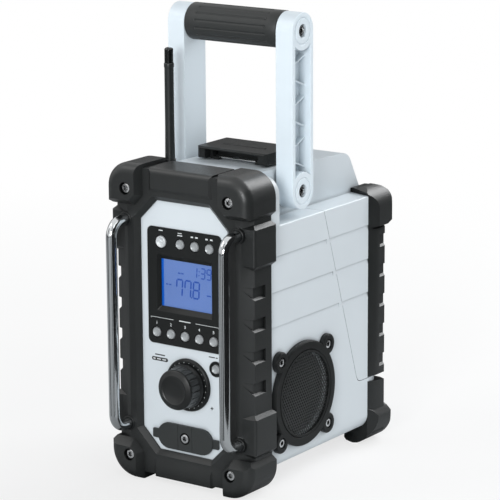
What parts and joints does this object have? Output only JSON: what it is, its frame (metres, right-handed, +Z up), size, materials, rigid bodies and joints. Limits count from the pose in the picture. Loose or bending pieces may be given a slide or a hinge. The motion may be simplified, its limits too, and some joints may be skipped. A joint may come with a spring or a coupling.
{
  "type": "jobsite radio",
  "caption": "Rugged jobsite radio with elastomer bumpers, folding ribbed carry handle, chrome grab bars, blue display, large tuning knob, side speakers and a hinged battery door.",
  "frame": {"origin": "centre of the footprint, on the surface that the radio stands on", "axes": "+Z up, -Y is the front with the controls, +X is the right side seen from the front"},
  "size_m": [0.163, 0.262, 0.4417],
  "materials": {
    "elastomer": "satin moulded elastomer",
    "shell": "cool white, satin",
    "handle_shell": "cool white, satin",
    "black_plastic": "black, fine texture",
    "gloss_black": "black, glossy",
    "lcd_glass": "blue tinted",
    "chrome": "polished",
    "steel": "satin",
    "grip_rubber": "dark, soft",
    "silver_plastic": "silver grey",
    "board": "green circuit board",
    "mesh_metal": "black",
    "cone": "black, fibrous",
    "aluminium": "satin"
  },
  "bodies": {
    "case": {"front_bumper": "elastomer", "main_housing": "shell", "rear_bumper_lower": "elastomer", "front_fascia": "shell", "display_bezel": "black_plastic", "lcd_window": "lcd_glass", "lcd_module": "black_plastic", "scan_ring": "black_plastic", "grab_bar_left": "chrome", "grab_bar_right": "chrome", "bar_collars": "elastomer", "speaker_ring_left": "black_plastic", "speaker_ring_right": "black_plastic", "speaker_mesh_left": "mesh_metal", "speaker_mesh_right": "mesh_metal", "speaker_cone_left": "cone", "speaker_cone_right": "cone", "speaker_basket_left": "steel", "speaker_basket_right": "steel", "speaker_screws": "steel", "front_screws": "steel", "antenna_socket": "black_plastic", "antenna_rod": "elastomer", "antenna_cap": "gloss_black", "knob_skirt": "black_plastic", "encoder_body": "steel", "port_cover_hub": "elastomer", "aux_jack": "steel", "dc_jack": "black_plastic", "control_board": "board", "amplifier_board": "board", "battery_rail": "black_plastic", "door_hinge_pin": "steel", "latch_catch": "black_plastic", "pivot_bolts": "steel"},
    "handle": {"handle_arm_left": "handle_shell", "handle_arm_right": "handle_shell", "handle_grip": "grip_rubber", "handle_core": "aluminium", "handle_screws": "steel"},
    "door": {"door_shell": "shell", "rear_bumper_upper": "elastomer", "door_seal": "elastomer", "latch_pin": "steel"},
    "latch": {"latch_lever": "black_plastic", "latch_wire": "chrome"},
    "knob_shaft": {"knob_spindle": "steel"},
    "knob": {"volume_knob": "black_plastic"},
    "power_key": {"power_key": "silver_plastic"},
    "function_key_1": {"function_key_1": "silver_plastic"},
    "function_key_2": {"function_key_2": "silver_plastic"},
    "function_key_3": {"function_key_3": "silver_plastic"},
    "preset_key_1": {"preset_key_1": "silver_plastic"},
    "preset_key_2": {"preset_key_2": "silver_plastic"},
    "preset_key_3": {"preset_key_3": "silver_plastic"},
    "preset_key_4": {"preset_key_4": "silver_plastic"},
    "preset_key_5": {"preset_key_5": "silver_plastic"},
    "scan_key": {"scan_key": "silver_plastic"},
    "flap_left": {"port_flap_left": "elastomer"},
    "flap_right": {"port_flap_right": "elastomer"}
  },
  "joints": [
    {"name": "handle_fold", "type": "hinge", "parent": "case", "child": "handle", "pos_m": [0, -0.009, 0.2748], "axis": [-1, 0, 0], "range_deg": [0, 87]},
    {"name": "door_swing", "type": "hinge", "parent": "case", "child": "door", "pos_m": [0, 0.1278, 0.07], "axis": [-1, 0, 0], "range_deg": [0, 80]},
    {"name": "latch_swing", "type": "hinge", "parent": "door", "child": "latch", "pos_m": [0, 0.0215, 0.3023], "axis": [-1, 0, 0], "range_deg": [0, 75]},
    {"name": "knob_push", "type": "slide", "parent": "case", "child": "knob_shaft", "axis": [0, 1, 0], "range_m": [0, 0.001], "stiffness_N_per_m": 700, "springref_m": -0.0015},
    {"name": "knob_turn", "type": "hinge", "parent": "knob_shaft", "child": "knob", "pos_m": [0.003, 0, 0.099], "axis": [0, 1, 0], "continuous": true},
    {"name": "power_key_press", "type": "slide", "parent": "case", "child": "power_key", "axis": [0, 1, 0], "range_m": [0, 0.0008], "stiffness_N_per_m": 500, "springref_m": -0.0012},
    {"name": "function_key_1_press", "type": "slide", "parent": "case", "child": "function_key_1", "axis": [0, 1, 0], "range_m": [0, 0.0008], "stiffness_N_per_m": 500, "springref_m": -0.0012},
    {"name": "function_key_2_press", "type": "slide", "parent": "case", "child": "function_key_2", "axis": [0, 1, 0], "range_m": [0, 0.0008], "stiffness_N_per_m": 500, "springref_m": -0.0012},
    {"name": "function_key_3_press", "type": "slide", "parent": "case", "child": "function_key_3", "axis": [0, 1, 0], "range_m": [0, 0.0008], "stiffness_N_per_m": 500, "springref_m": -0.0012},
    {"name": "preset_key_1_press", "type": "slide", "parent": "case", "child": "preset_key_1", "axis": [0, 1, 0], "range_m": [0, 0.0008], "stiffness_N_per_m": 500, "springref_m": -0.0012},
    {"name": "preset_key_2_press", "type": "slide", "parent": "case", "child": "preset_key_2", "axis": [0, 1, 0], "range_m": [0, 0.0008], "stiffness_N_per_m": 500, "springref_m": -0.0012},
    {"name": "preset_key_3_press", "type": "slide", "parent": "case", "child": "preset_key_3", "axis": [0, 1, 0], "range_m": [0, 0.0008], "stiffness_N_per_m": 500, "springref_m": -0.0012},
    {"name": "preset_key_4_press", "type": "slide", "parent": "case", "child": "preset_key_4", "axis": [0, 1, 0], "range_m": [0, 0.0008], "stiffness_N_per_m": 500, "springref_m": -0.0012},
    {"name": "preset_key_5_press", "type": "slide", "parent": "case", "child": "preset_key_5", "axis": [0, 1, 0], "range_m": [0, 0.0008], "stiffness_N_per_m": 500, "springref_m": -0.0012},
    {"name": "scan_key_press", "type": "slide", "parent": "case", "child": "scan_key", "axis": [0, 1, 0], "range_m": [0, 0.0008], "stiffness_N_per_m": 500, "springref_m": -0.0012},
    {"name": "flap_left_swing", "type": "hinge", "parent": "case", "child": "flap_left", "pos_m": [-0.00815, -0.102, 0.0465], "axis": [0, 0, 1], "range_deg": [0, 100]},
    {"name": "flap_right_swing", "type": "hinge", "parent": "case", "child": "flap_right", "pos_m": [0.00815, -0.102, 0.0465], "axis": [0, 0, -1], "range_deg": [0, 100]}
  ]
}
